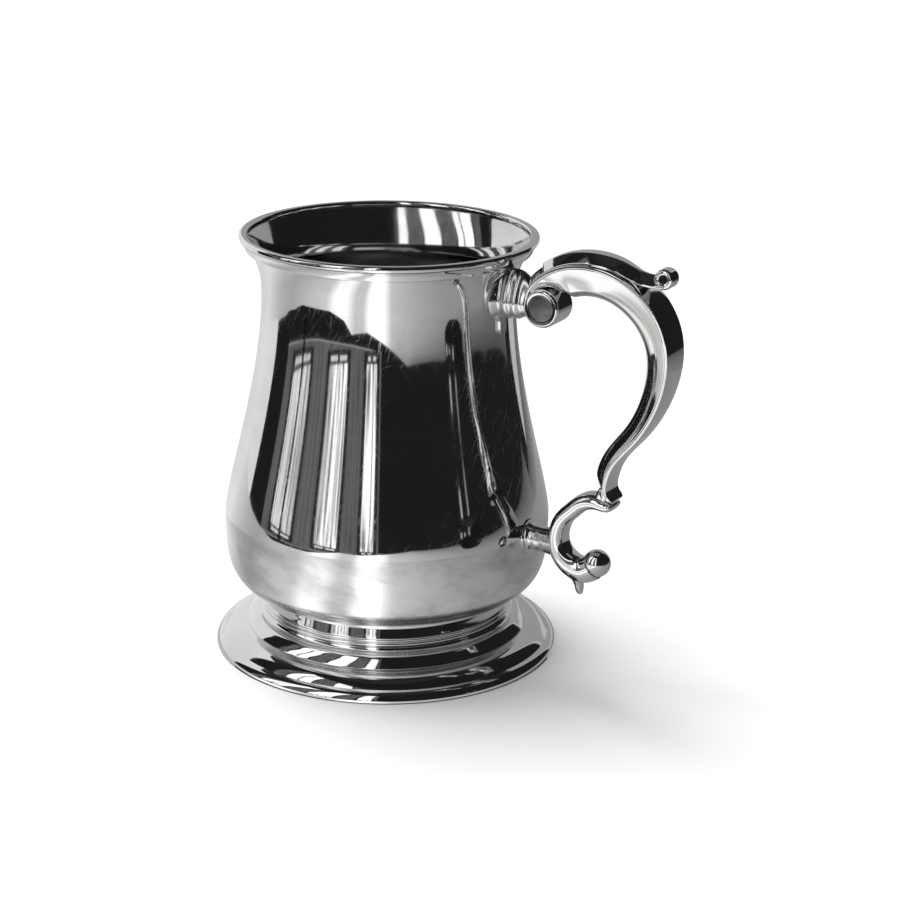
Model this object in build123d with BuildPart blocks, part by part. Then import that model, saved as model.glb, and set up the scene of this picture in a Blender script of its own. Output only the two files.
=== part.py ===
"""Pewter tankard: a turned tulip-shaped cup on a moulded foot, with a cast double-scroll handle.

Units are millimetres. The origin is the centre of the foot on the table, +Z is up,
and the handle stands along +X. Left and right are those of a person who holds the
handle and looks at the cup, so left is -Y.
"""
from build123d import *
import os

os.makedirs("parts", exist_ok=True)

# ---------------------------------------------------------------- cup, overall
rim_height = 127.0
rim_radius = 43.95
neck_radius = 37.4
neck_drop = 17.5          # from the rim down to the narrowest part of the neck
belly_radius = 48.9
belly_height = 36.4       # widest part of the cup, where its two castings meet
waist_radius = 37.0
waist_height = 18.2
cup_wall = 1.5
neck_height = rim_height - neck_drop
barrel_fullness = (0.197, 0.341)        # shares of a curve's rise at which its control points lie
flare_fullness = (0.44, 0.685)
flare_spread = 0.34
bowl_fullness = (0.148, 0.516)
bowl_tuck = 0.3

# ---------------------------------------------------------------- lip
lip_wire_height = 1.8
lip_wire_width = 2.6
lip_wire_round = 0.8
band_height = 2.9
band_proud = 0.95         # how far the band's lower edge stands out from the cup
band_round = 0.3
band_top_inset = 0.35     # the band's upper edge stands in from the rim
band_inset = 1.6          # from the seat of the wire to the cup's face at the band's foot
lip_seat_height = rim_height - lip_wire_height
lip_seat_radius = rim_radius - 1.25

# ---------------------------------------------------------------- floor of the cup
floor_radius = 34.5
floor_thickness = 1.6
floor_rise = 1.2          # the floor is dished upwards in the middle

# ---------------------------------------------------------------- foot
foot_radius = 52.0
edge_wire_height = 3.3
edge_wire_width = 2.6
edge_wire_bevel = 0.2
collar_taper = 0.3        # the collar's ends stand in from the waist and from the dome
flange_wall = 1.4
step_height = 6.8
step_drop = 0.8
step_proud = 5.7          # step's radius beyond the waist
dome_height = 10.4
dome_proud = 1.7          # dome top's radius beyond the waist
cove_depth = 0.8
bead_heights = [11.7, 13.5, 14.8]
bead_radii = [1.15, 0.65, 0.55]
bead_proud = [1.35, 0.65, 0.45]
step_radius = waist_radius + step_proud
dome_radius = waist_radius + dome_proud
edge_seat_radius = foot_radius - edge_wire_width

# ---------------------------------------------------------------- handle, overall
handle_clear_neck = 9.3    # from the neck to the handle's nearest point
handle_clear_belly = -2.2  # from the belly to the same point, which lies above the belly
handle_reach = 46.2        # from the nearest point of the handle to its furthest
handle_root = max(neck_radius + handle_clear_neck, belly_radius + handle_clear_belly)
scroll_top = rim_height - 0.1
lower_joint_height = belly_height + 5.5
scroll_foot = lower_joint_height + 19.2
upper_joint_height = rim_height - 14.4

# ---------------------------------------------------------------- handle, main scroll
strip_thickness = 1.4
strip_round = 0.5
shell_wall = 1.3
shell_inset = 0.45         # the cast sides stand in from the strip's edges
side_bulge = 0.55
shoulder_half_width = 6.3
tail_half_width = 4.3
keel_half_width = 2.0
keel_round = 0.75
shoulder_depth = 9.9
tail_depth = 5.2
roll_depth = 3.6           # depth of the cast sides where they start, next to the roll
shell_start = 0.05         # shares of the back's length: start of the sides,
shoulder_share = 0.17      # widest and deepest point, and start of the taper to the tail
taper_share = 0.35
station_count = 14
back_shape = [             # the back in side view, as shares of the scroll's reach and height
    (0.0, 0.783), (0.03, 0.853), (0.1, 0.912), (0.219, 0.968), (0.392, 1.0), (0.645, 0.975),
    (0.86, 0.872), (0.98, 0.715), (0.988, 0.556), (0.922, 0.398), (0.779, 0.234), (0.639, 0.105),
    (0.6, 0.0),
]

# ---------------------------------------------------------------- handle, upper roll
roll_radius = 5.6
roll_step = 0.3            # the strip starts this far outside the roll
roll_half_width = 5.0
disc_radius = 4.5
disc_thickness = 0.7
disc_round = 0.35

# ---------------------------------------------------------------- handle, thumb leaf
leaf_start = 0.1           # shares of the back's length between which the leaf is seated
leaf_leave = 0.36
leaf_half_width = 5.0
leaf_tip_half_width = 2.7
leaf_edge = 0.5            # thickness of the leaf's side edges
leaf_crown = 2.9           # height of the leaf's crest over the strip
leaf_tip_crown = 2.2
leaf_stations = (0, 0.17, 0.34, 0.51, 0.68, 0.84, 1)
leaf_sink = 0.3            # the leaf is drawn this deep and cut back to the strip
curl_radius = 2.9
curl_half_width = 2.6
curl_reach = 42.0          # of the curl's centre from the handle's nearest point
curl_drop = 1.9            # of the curl's centre below the rim
eye_radius = 1.5
eye_height = 0.45
curl_round = 0.5
eye_round = 0.3

# ---------------------------------------------------------------- handle, lower scroll
lower_half_width = 4.1
lower_half_depth = 2.6
lower_end_half_depth = 3.5   # where the bar meets the ball
lower_stations = (0, 0.15, 0.3, 0.45, 0.6, 0.75, 0.9, 1)
lower_shape = [              # the bar in side view: out from the handle's nearest point, up from its joint
    (22.6, 15.6), (19.6, 14.1), (16.4, 11.4), (13.3, 8.0), (11.8, 4.2),
    (11.7, 0.2), (13.4, -3.4), (16.8, -6.0), (20.4, -6.4),
]
heel_half_width = 4.3
heel_inner_out = 22.6        # the heel in side view, out from the same point and down from the scroll's foot
heel_outer_out = 27.9
heel_lip_at = (30.6, -2.6)
heel_under_at = (28.2, -5.6)
heel_foot_drop = 6.9
ball_radius = 4.1
ball_at = (24.1, -4.0)
spur_at = (18.6, -7.5)
spur_lean = 0.16
spur_round = 0.4
spur_length = 7.4
spur_radius = 2.3
spur_tip_radius = 0.7

# ---------------------------------------------------------------- joints to the cup
plate_thickness = 0.9
upper_plate_radius = 5.6
upper_drop_length = 10.8
upper_drop_half_width = 1.8
upper_drop_root_width = 0.62   # the drop's root, as shares of the plate's radius
upper_drop_root_depth = 0.7
upper_drop_shoulder = 1.2      # below the plate
upper_strut_end_radius = 6.6
upper_strut_bead_radius = 5.3
upper_strut_waist_radius = 4.3
upper_strut_bead_out = 1.6     # out from the neck to the bead's edge, and to the waist
upper_strut_waist_out = 3.4
upper_strut_flare_in = 0.5     # from the handle's nearest point back to the flare's edge
strut_sink = 1.0               # struts are drawn this deep into what they are cut back to
lower_plate_radius = 5.2
lower_strut_radius = 3.9
lower_strut_collar_radius = 4.4
lower_strut_collar_width = 1.8
lower_strut_collar_out = 8.6   # out from the handle's nearest point to the collar's end
lower_strut_end_out = 11.7
lower_strut_sink = 4.0


# ================================================================ helper shapes
def save(part, name):
    """Label a finished piece and write it to its own file."""
    part.label = name
    export_step(part, "parts/" + name + ".step")


def belly_to_neck(grow):
    """Control points of the barrel, from the belly up to the neck, moved out by grow."""
    return [
        (belly_radius + grow, belly_height),
        (belly_radius + grow, belly_height + barrel_fullness[0] * (neck_height - belly_height)),
        (neck_radius + grow, neck_height - barrel_fullness[1] * (neck_height - belly_height)),
        (neck_radius + grow, neck_height),
    ]


def neck_to_lip(grow):
    """Control points of the flare, from the neck up to the seat of the lip wire."""
    rise = lip_seat_height - neck_height
    flare = lip_seat_radius - neck_radius
    return [
        (neck_radius + grow, neck_height),
        (neck_radius + grow, neck_height + flare_fullness[0] * rise),
        (neck_radius + flare_spread * flare + grow, neck_height + flare_fullness[1] * rise),
        (lip_seat_radius + grow, lip_seat_height),
    ]


def waist_to_belly(grow):
    """Control points of the bowl, from the waist out and up to the belly."""
    rise = belly_height - waist_height
    return [
        (waist_radius, waist_height - grow),
        (belly_radius - bowl_tuck + 0.7 * grow, waist_height + bowl_fullness[0] * rise - 0.7 * grow),
        (belly_radius + grow, waist_height + bowl_fullness[1] * rise),
        (belly_radius + grow, belly_height),
    ]


with BuildPart() as cup_space:
    # The outside of the cup as one solid: what is soldered to the cup is cut to it.
    with BuildSketch(Plane.XZ):
        with BuildLine():
            Line((0, waist_height), (waist_radius, waist_height))
            Bezier(*waist_to_belly(0))
            Bezier(*belly_to_neck(0))
            Bezier(*neck_to_lip(0))
            Line((lip_seat_radius, lip_seat_height), (0, lip_seat_height))
            Line((0, lip_seat_height), (0, waist_height))
        make_face()
    revolve(axis=Axis.Z)

with BuildPart() as plate_space:
    # The same outside, thicker by a back plate.
    with BuildSketch(Plane.XZ):
        with BuildLine():
            Line((0, waist_height - plate_thickness), (waist_radius, waist_height - plate_thickness))
            Bezier(*waist_to_belly(plate_thickness))
            Bezier(*belly_to_neck(plate_thickness))
            Bezier(*neck_to_lip(plate_thickness))
            Line((lip_seat_radius + plate_thickness, lip_seat_height), (0, lip_seat_height))
            Line((0, lip_seat_height), (0, waist_height - plate_thickness))
        make_face()
    revolve(axis=Axis.Z)

# ================================================================ cup
with BuildPart() as body_upper:
    with BuildSketch(Plane.XZ):
        with BuildLine():
            Bezier(*belly_to_neck(0))
            Bezier(*neck_to_lip(0))
            Line((lip_seat_radius, lip_seat_height), (lip_seat_radius - cup_wall, lip_seat_height))
            Bezier(*neck_to_lip(-cup_wall))
            Bezier(*belly_to_neck(-cup_wall))
            Line((belly_radius - cup_wall, belly_height), (belly_radius, belly_height))
        make_face()
    revolve(axis=Axis.Z)
save(body_upper.part, "body_upper")

with BuildPart() as body_lower:
    with BuildSketch(Plane.XZ):
        with BuildLine():
            Line((floor_radius, waist_height), (waist_radius, waist_height))
            Bezier(*waist_to_belly(0))
            Line((belly_radius, belly_height), (belly_radius - cup_wall, belly_height))
            Bezier(*waist_to_belly(-cup_wall))
            Line((waist_radius, waist_height + cup_wall), (floor_radius, waist_height + cup_wall))
            Line((floor_radius, waist_height + cup_wall), (floor_radius, waist_height))
        make_face()
    revolve(axis=Axis.Z)
save(body_lower.part, "body_lower")

with BuildPart() as bottom_disc:
    # The middle is dished by a shallow arc, and the rim is as thick as the cup's wall.
    with BuildSketch(Plane.XZ):
        with BuildLine():
            Line((0, waist_height + floor_rise), (0, waist_height + floor_rise + floor_thickness))
            Spline(
                (0, waist_height + floor_rise + floor_thickness),
                (floor_radius, waist_height + cup_wall),
                tangents=((1, 0), (1, 0)),
            )
            Line((floor_radius, waist_height + cup_wall), (floor_radius, waist_height))
            Spline(
                (floor_radius, waist_height),
                (0, waist_height + floor_rise),
                tangents=((-1, 0), (-1, 0)),
            )
        make_face()
    revolve(axis=Axis.Z)
save(bottom_disc.part, "bottom_disc")

# ================================================================ lip
with BuildPart() as lip_wire:
    with BuildSketch(Plane.XZ) as lip_wire_section:
        with Locations((rim_radius - lip_wire_width / 2, lip_seat_height + lip_wire_height / 2)):
            Rectangle(lip_wire_width, lip_wire_height)
        fillet(lip_wire_section.vertices(), lip_wire_round)
    revolve(axis=Axis.Z)
save(lip_wire.part, "lip_wire")

with BuildPart() as lip_band:
    band_foot = lip_seat_height - band_height
    band_out_top = rim_radius - band_top_inset
    band_out_foot = lip_seat_radius - band_inset + band_proud
    with BuildSketch(Plane.XZ) as lip_band_section:
        with BuildLine():
            Line((neck_radius, band_foot), (band_out_foot - band_round, band_foot))
            Line((band_out_foot - band_round, band_foot), (band_out_foot, band_foot + band_round))
            Spline(
                (band_out_foot, band_foot + band_round),
                (band_out_top, lip_seat_height),
                tangents=((0.3, 1), (0.75, 1)),
            )
            Line((band_out_top, lip_seat_height), (neck_radius, lip_seat_height))
            Line((neck_radius, lip_seat_height), (neck_radius, band_foot))
        make_face()
    revolve(axis=Axis.Z)
    add(cup_space.part, mode=Mode.SUBTRACT)
save(lip_band.part, "lip_band")

# ================================================================ foot
with BuildPart() as foot_collar:
    # A plain sleeve with a cove at the top and three beads that grow towards the foot.
    with BuildSketch(Plane.XZ):
        with BuildLine():
            Line((floor_radius, dome_height), (dome_radius - collar_taper, dome_height))
            Line((dome_radius - collar_taper, dome_height), (waist_radius, bead_heights[2]))
            ThreePointArc(
                (waist_radius, bead_heights[2]),
                (waist_radius - cove_depth, (bead_heights[2] + waist_height) / 2),
                (waist_radius - collar_taper, waist_height),
            )
            Line((waist_radius - collar_taper, waist_height), (floor_radius, waist_height))
            Line((floor_radius, waist_height), (floor_radius, dome_height))
        make_face()
        for height, radius, proud in zip(bead_heights, bead_radii, bead_proud):
            with Locations((waist_radius + proud - radius, height)):
                Circle(radius)
    revolve(axis=Axis.Z)
save(foot_collar.part, "foot_collar")


def flange_outline(inset):
    """Upper face of the foot's flange from the collar to the edge wire, sunk by inset."""
    return [
        (floor_radius, dome_height - inset),
        (dome_radius - 0.5 * inset, dome_height - inset),
        (step_radius - inset, step_height + step_drop - 0.5 * inset),
        (step_radius - inset, step_height - inset),
        (edge_seat_radius, edge_wire_height - inset),
    ]


with BuildPart() as foot_flange:
    top = flange_outline(0)
    under = flange_outline(flange_wall)
    with BuildSketch(Plane.XZ):
        with BuildLine():
            Line(top[0], top[1])
            Spline(top[1], top[2], tangents=((1, 0), (0.5, -1)))
            Line(top[2], top[3])
            Spline(top[3], top[4], tangents=((1, -0.1), (1, -0.55)))
            Line(top[4], under[4])
            Spline(under[4], under[3], tangents=((-1, 0.55), (-1, 0.1)))
            Line(under[3], under[2])
            Spline(under[2], under[1], tangents=((-0.5, 1), (-1, 0)))
            Line(under[1], under[0])
            Line(under[0], top[0])
        make_face()
    revolve(axis=Axis.Z)
save(foot_flange.part, "foot_flange")

with BuildPart() as foot_edge_wire:
    # A rounded moulding that the whole tankard stands on.
    with BuildSketch(Plane.XZ):
        with BuildLine():
            Line((edge_seat_radius, 0), (foot_radius - edge_wire_bevel, 0))
            Line((foot_radius - edge_wire_bevel, 0), (foot_radius, edge_wire_bevel))
            Spline(
                (foot_radius, edge_wire_bevel),
                (edge_seat_radius, edge_wire_height),
                tangents=((-0.15, 1), (-1, 0.35)),
            )
            Line((edge_seat_radius, edge_wire_height), (edge_seat_radius, 0))
        make_face()
    revolve(axis=Axis.Z)
save(foot_edge_wire.part, "foot_edge_wire")


# ================================================================ handle, main scroll
def side_point(out, up, base):
    """A side-view point that lies out from the handle's nearest point and up from a base."""
    return (handle_root + out, base + up)


def scroll_point(across, up):
    """A side-view point from shares of the main scroll's reach and of its height."""
    return side_point(across * handle_reach, up * (scroll_top - scroll_foot), scroll_foot)


with BuildLine(Plane.XZ) as back_line:
    Spline(*[scroll_point(across, up) for across, up in back_shape])
back_curve = back_line.line


def eased(share, start, end, first, last):
    """A size that eases from start to end between two shares of a curve's length."""
    ease = min(max((share - first) / (last - first), 0.0), 1.0)
    return start + (end - start) * ease * ease * (3 - 2 * ease)


def strip_half_width(share):
    """Half width of the back strip: widest at the shoulder, narrowest at the tail."""
    if share < shoulder_share:
        return eased(share, roll_half_width, shoulder_half_width, 0, shoulder_share)
    return eased(share, shoulder_half_width, tail_half_width, taper_share, 1)


def shell_depth(share):
    """Depth of the cast sides below the back: shallow at the roll, deepest at the shoulder."""
    if share < shoulder_share:
        return eased(share, roll_depth, shoulder_depth, shell_start, shoulder_share)
    return eased(share, shoulder_depth, tail_depth, taper_share, 1)


def section_plane(curve, share):
    """Plane across a side-view curve: local x is +Y and local y points out of the back."""
    return Plane(origin=curve @ share, x_dir=(0, 1, 0), z_dir=curve % share)


with BuildPart() as handle_back_strip:
    # A flat strip with rounded edges, which closes the two cast sides.
    for step in range(station_count):
        share = step / (station_count - 1)
        with BuildSketch(section_plane(back_curve, share)) as strip_section:
            with Locations((0, -strip_thickness / 2)):
                Rectangle(2 * strip_half_width(share), strip_thickness)
            fillet(strip_section.vertices(), strip_round)
    loft()

# The roll that the upper end of the strip wraps
roll_plane = section_plane(back_curve, 0)
roll_centre = roll_plane.origin - roll_plane.y_dir * (roll_radius + roll_step)


def roll_cylinder(radius, half_width):
    """A cylinder along Y on the roll's own axis."""
    face_plane = Plane(origin=roll_centre, x_dir=(1, 0, 0), z_dir=(0, -1, 0))
    with BuildPart(mode=Mode.PRIVATE) as cylinder:
        with BuildSketch(face_plane):
            Circle(radius)
        extrude(amount=half_width, both=True)
    return cylinder.part


roll_space = roll_cylinder(roll_radius, 2 * roll_half_width)
save(roll_cylinder(roll_radius, roll_half_width), "volute_roll")
save(handle_back_strip.part - roll_space, "handle_back_strip")

with BuildPart() as handle_half_right:
    # One cast side: a thin shell from the strip's edge to the keel on the centre plane.
    for step in range(station_count):
        share = shell_start + (1 - shell_start) * step / (station_count - 1)
        edge = strip_half_width(share) - shell_inset
        depth = shell_depth(share)
        outer_foot = (keel_half_width, -(depth - keel_round))
        inner_foot = (0, -(depth - shell_wall))
        with BuildSketch(section_plane(back_curve, share)):
            with BuildLine():
                ThreePointArc(
                    (edge, -strip_thickness),
                    ((edge + keel_half_width) / 2 + side_bulge, -(strip_thickness + depth) / 2),
                    outer_foot,
                )
                ThreePointArc(
                    outer_foot,
                    (0.6 * keel_half_width, -(depth - 0.3 * keel_round)),
                    (0, -depth),
                )
                Line((0, -depth), inner_foot)
                ThreePointArc(
                    inner_foot,
                    ((edge - shell_wall) / 2 + side_bulge, -(strip_thickness + depth - shell_wall) / 2),
                    (edge - shell_wall, -strip_thickness),
                )
                Line((edge - shell_wall, -strip_thickness), (edge, -strip_thickness))
            make_face()
    loft()
    add(handle_back_strip.part, mode=Mode.SUBTRACT)
    add(roll_space, mode=Mode.SUBTRACT)
save(handle_half_right.part, "handle_half_right")

with BuildPart() as handle_half_left:
    add(handle_half_right.part)
    mirror(about=Plane.XZ, mode=Mode.REPLACE)
save(handle_half_left.part, "handle_half_left")

# ================================================================ handle, roll discs
for side, disc_name in ((-1, "volute_disc_left"), (1, "volute_disc_right")):
    disc_origin = roll_centre + Vector(0, side * roll_half_width, 0)
    with BuildPart() as volute_disc:
        with BuildSketch(Plane(origin=disc_origin, x_dir=(1, 0, 0), z_dir=(0, side, 0))):
            Circle(disc_radius)
        extrude(amount=disc_thickness)
        fillet(volute_disc.edges().group_by(Axis.Y)[0 if side < 0 else -1], disc_round)
    save(volute_disc.part, disc_name)

# ================================================================ handle, thumb leaf
curl_centre = Vector(handle_root + curl_reach, 0, rim_height - curl_drop)

with BuildPart() as leaf_curl:
    # The rolled tip of the thumb leaf
    with BuildSketch(Plane(origin=curl_centre, x_dir=(1, 0, 0), z_dir=(0, -1, 0))):
        Circle(curl_radius)
    extrude(amount=curl_half_width, both=True)
    fillet(leaf_curl.edges().filter_by(GeomType.CIRCLE), curl_round)
save(leaf_curl.part, "leaf_curl")

for side, eye_name in ((-1, "leaf_eye_left"), (1, "leaf_eye_right")):
    eye_origin = curl_centre + Vector(0, side * curl_half_width, 0)
    with BuildPart() as leaf_eye:
        with BuildSketch(Plane(origin=eye_origin, x_dir=(1, 0, 0), z_dir=(0, side, 0))):
            Circle(eye_radius)
        extrude(amount=eye_height)
        fillet(leaf_eye.edges().group_by(Axis.Y)[0 if side < 0 else -1], eye_round)
    save(leaf_eye.part, eye_name)

with BuildLine(Plane.XZ) as leaf_line:
    leaf_seat = [back_curve @ eased(step, leaf_start, leaf_leave, 0, 1) for step in (0, 0.25, 0.5, 0.75, 1)]
    leaf_end = curl_centre + Vector(0.3, 0, -0.72 * curl_radius)
    Spline(
        *[(point.X, point.Z) for point in leaf_seat + [leaf_end]],
        tangents=(
            ((back_curve % leaf_start).X, (back_curve % leaf_start).Z),
            (1, 0.2),
        ),
    )
leaf_curve = leaf_line.line

with BuildPart() as thumb_leaf:
    # A strap with an arched back that rides on the strip and narrows to its rolled tip
    for share in leaf_stations:
        half_width = eased(share, leaf_half_width, leaf_tip_half_width, 0.3, 1)
        crown = eased(share, leaf_crown, leaf_tip_crown, 0.5, 1)
        with BuildSketch(section_plane(leaf_curve, share)):
            with BuildLine():
                Line((-half_width, -leaf_sink), (half_width, -leaf_sink))
                Line((half_width, -leaf_sink), (half_width, leaf_edge))
                ThreePointArc((half_width, leaf_edge), (0, crown), (-half_width, leaf_edge))
                Line((-half_width, leaf_edge), (-half_width, -leaf_sink))
            make_face()
    loft()
    add(handle_back_strip.part, mode=Mode.SUBTRACT)
    add(leaf_curl.part, mode=Mode.SUBTRACT)
save(thumb_leaf.part, "thumb_leaf")

# ================================================================ handle, heel and lower scroll
with BuildPart() as scroll_heel:
    # The block at the foot of the main scroll, which ends in a small upturned lip
    with BuildSketch(Plane.XZ):
        with BuildLine():
            heel_inner = side_point(heel_inner_out, 0, scroll_foot)
            heel_outer = side_point(heel_outer_out, 0, scroll_foot)
            heel_lip = side_point(*heel_lip_at, scroll_foot)
            heel_under = side_point(*heel_under_at, scroll_foot)
            heel_foot = side_point(heel_inner_out, -heel_foot_drop, scroll_foot)
            Line(heel_inner, heel_outer)
            Spline(heel_outer, heel_lip, heel_under, tangents=((0.1, -1), (-1, -0.1)))
            Line(heel_under, heel_foot)
            Line(heel_foot, heel_inner)
        make_face()
    extrude(amount=heel_half_width, both=True)
    for joined in (handle_back_strip, handle_half_left, handle_half_right):
        add(joined.part, mode=Mode.SUBTRACT)
save(scroll_heel.part, "scroll_heel")

with BuildLine(Plane.XZ) as lower_line:
    Spline(
        *[side_point(out, up, lower_joint_height) for out, up in lower_shape],
        tangents=((-1, -0.25), (1, 0.15)),
    )
lower_curve = lower_line.line

with BuildPart() as ball_terminal:
    # A turned ball, a little longer than it is wide, on the inner end of the scroll
    ball_point = side_point(*ball_at, lower_joint_height)
    with BuildSketch(Plane(origin=(ball_point[0], 0, ball_point[1]), x_dir=(1, 0, 0), z_dir=(0, -1, 0))):
        with BuildLine():
            ThreePointArc((0, -ball_radius), (ball_radius, 0), (0, ball_radius))
            Line((0, ball_radius), (0, -ball_radius))
        make_face()
    revolve(axis=Axis((ball_point[0], 0, ball_point[1]), (0, 0, 1)))
save(ball_terminal.part, "ball_terminal")

with BuildPart() as lower_scroll:
    # An oval bar that thickens towards its lower end
    for share in lower_stations:
        half_depth = eased(share, lower_half_depth, lower_end_half_depth, 0.4, 0.85)
        with BuildSketch(section_plane(lower_curve, share)):
            Ellipse(lower_half_width, half_depth)
    loft()
    add(ball_terminal.part, mode=Mode.SUBTRACT)
    add(scroll_heel.part, mode=Mode.SUBTRACT)
save(lower_scroll.part, "lower_scroll")

with BuildPart() as drop_spur:
    spur_root = side_point(*spur_at, lower_joint_height)
    spur_plane = Plane(origin=(spur_root[0], 0, spur_root[1]), x_dir=(0, 1, 0), z_dir=(spur_lean, 0, -1))
    with BuildSketch(spur_plane):
        Circle(spur_radius)
    with BuildSketch(spur_plane.offset(0.55 * spur_length)):
        Circle(0.75 * spur_radius)
    with BuildSketch(spur_plane.offset(spur_length)):
        Circle(spur_tip_radius)
    loft()
    fillet(drop_spur.edges().group_by(Axis.Z)[0], spur_round)
    add(lower_scroll.part, mode=Mode.SUBTRACT)
save(drop_spur.part, "drop_spur")

# ================================================================ joints to the cup
def strut_axis(height):
    """Axis of a strut, from the cup's axis out towards the handle."""
    return Axis((0, 0, height), (1, 0, 0))


with BuildPart() as upper_back_plate:
    # A round plate with a tapering drop, bent to the cup
    drop_root_half = upper_plate_radius * upper_drop_root_width
    drop_root_height = upper_joint_height - upper_drop_root_depth * upper_plate_radius
    with BuildSketch(Plane.YZ.offset(neck_radius / 2)):
        with Locations((0, upper_joint_height)):
            Circle(upper_plate_radius)
        with BuildLine():
            Polyline(
                (-drop_root_half, drop_root_height),
                (-upper_drop_half_width, upper_joint_height - upper_plate_radius - upper_drop_shoulder),
                (-upper_drop_half_width, upper_joint_height - upper_drop_length + upper_drop_half_width),
            )
            ThreePointArc(
                (-upper_drop_half_width, upper_joint_height - upper_drop_length + upper_drop_half_width),
                (0, upper_joint_height - upper_drop_length),
                (upper_drop_half_width, upper_joint_height - upper_drop_length + upper_drop_half_width),
            )
            Polyline(
                (upper_drop_half_width, upper_joint_height - upper_drop_length + upper_drop_half_width),
                (upper_drop_half_width, upper_joint_height - upper_plate_radius - upper_drop_shoulder),
                (drop_root_half, drop_root_height),
                (-drop_root_half, drop_root_height),
            )
        make_face()
    extrude(amount=neck_radius)
    add(plate_space.part, mode=Mode.INTERSECT)
    add(cup_space.part, mode=Mode.SUBTRACT)
save(upper_back_plate.part, "upper_back_plate")

with BuildPart() as lower_back_plate:
    with BuildSketch(Plane.YZ.offset(belly_radius / 2)):
        with Locations((0, lower_joint_height)):
            Circle(lower_plate_radius)
    extrude(amount=belly_radius)
    add(plate_space.part, mode=Mode.INTERSECT)
    add(cup_space.part, mode=Mode.SUBTRACT)
save(lower_back_plate.part, "lower_back_plate")

with BuildPart() as upper_strut:
    # A turned neck: bead at the plate, waist, then a flare to the roll
    strut_start = neck_radius - strut_sink
    strut_end = handle_root + strut_sink
    with BuildSketch(Plane.XZ):
        with BuildLine():
            Line(
                (strut_start, upper_joint_height),
                (strut_start, upper_joint_height + upper_strut_bead_radius),
            )
            Line(
                (strut_start, upper_joint_height + upper_strut_bead_radius),
                (neck_radius + upper_strut_bead_out, upper_joint_height + upper_strut_bead_radius),
            )
            Spline(
                (neck_radius + upper_strut_bead_out, upper_joint_height + upper_strut_bead_radius),
                (neck_radius + upper_strut_waist_out, upper_joint_height + upper_strut_waist_radius),
                (handle_root - upper_strut_flare_in, upper_joint_height + upper_strut_end_radius),
                tangents=((1, -0.1), (0.6, 1)),
            )
            Line(
                (handle_root - upper_strut_flare_in, upper_joint_height + upper_strut_end_radius),
                (strut_end, upper_joint_height + upper_strut_end_radius),
            )
            Line((strut_end, upper_joint_height + upper_strut_end_radius), (strut_end, upper_joint_height))
            Line((strut_end, upper_joint_height), (strut_start, upper_joint_height))
        make_face()
    revolve(axis=strut_axis(upper_joint_height))
    add(cup_space.part, mode=Mode.SUBTRACT)
    add(upper_back_plate.part, mode=Mode.SUBTRACT)
    add(roll_cylinder(roll_radius + roll_step, 2 * roll_half_width), mode=Mode.SUBTRACT)
    add(handle_back_strip.part, mode=Mode.SUBTRACT)
save(upper_strut.part, "upper_strut")

with BuildPart() as lower_strut:
    # A short round bar with a collar next to the lower scroll
    collar_end = handle_root + lower_strut_collar_out
    bar_end = handle_root + lower_strut_end_out
    with BuildSketch(Plane.XZ):
        with BuildLine():
            Polyline(
                (belly_radius - lower_strut_sink, lower_joint_height),
                (belly_radius - lower_strut_sink, lower_joint_height + lower_strut_radius),
                (collar_end - lower_strut_collar_width, lower_joint_height + lower_strut_radius),
                (collar_end - lower_strut_collar_width, lower_joint_height + lower_strut_collar_radius),
                (collar_end, lower_joint_height + lower_strut_collar_radius),
                (collar_end, lower_joint_height + lower_strut_radius),
                (bar_end, lower_joint_height + lower_strut_radius),
                (bar_end, lower_joint_height),
                (belly_radius - lower_strut_sink, lower_joint_height),
            )
        make_face()
    revolve(axis=strut_axis(lower_joint_height))
    add(cup_space.part, mode=Mode.SUBTRACT)
    add(lower_back_plate.part, mode=Mode.SUBTRACT)
    add(lower_scroll.part, mode=Mode.SUBTRACT)
save(lower_strut.part, "lower_strut")
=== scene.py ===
"""Pewter tankard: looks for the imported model, in the model's own frame (metres, +Z up, handle at +X)."""

from math import cos, hypot, pi, radians, sin

import bmesh
import bpy
import numpy as np
from mathutils import Matrix, Vector


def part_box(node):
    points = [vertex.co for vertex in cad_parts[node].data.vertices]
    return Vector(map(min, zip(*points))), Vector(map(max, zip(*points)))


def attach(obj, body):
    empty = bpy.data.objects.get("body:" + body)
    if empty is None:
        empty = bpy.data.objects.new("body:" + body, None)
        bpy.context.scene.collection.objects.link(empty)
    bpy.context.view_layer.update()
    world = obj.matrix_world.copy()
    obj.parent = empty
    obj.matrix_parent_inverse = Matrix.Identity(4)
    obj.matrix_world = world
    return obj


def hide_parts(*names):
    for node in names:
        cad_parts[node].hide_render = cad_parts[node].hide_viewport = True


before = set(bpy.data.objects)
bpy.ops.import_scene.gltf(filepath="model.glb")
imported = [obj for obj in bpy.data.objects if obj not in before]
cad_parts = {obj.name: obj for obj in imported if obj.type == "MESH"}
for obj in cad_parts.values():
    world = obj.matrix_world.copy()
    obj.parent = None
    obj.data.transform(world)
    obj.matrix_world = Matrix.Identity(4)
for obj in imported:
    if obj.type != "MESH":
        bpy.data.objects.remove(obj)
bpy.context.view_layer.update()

MM = 0.001

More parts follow.
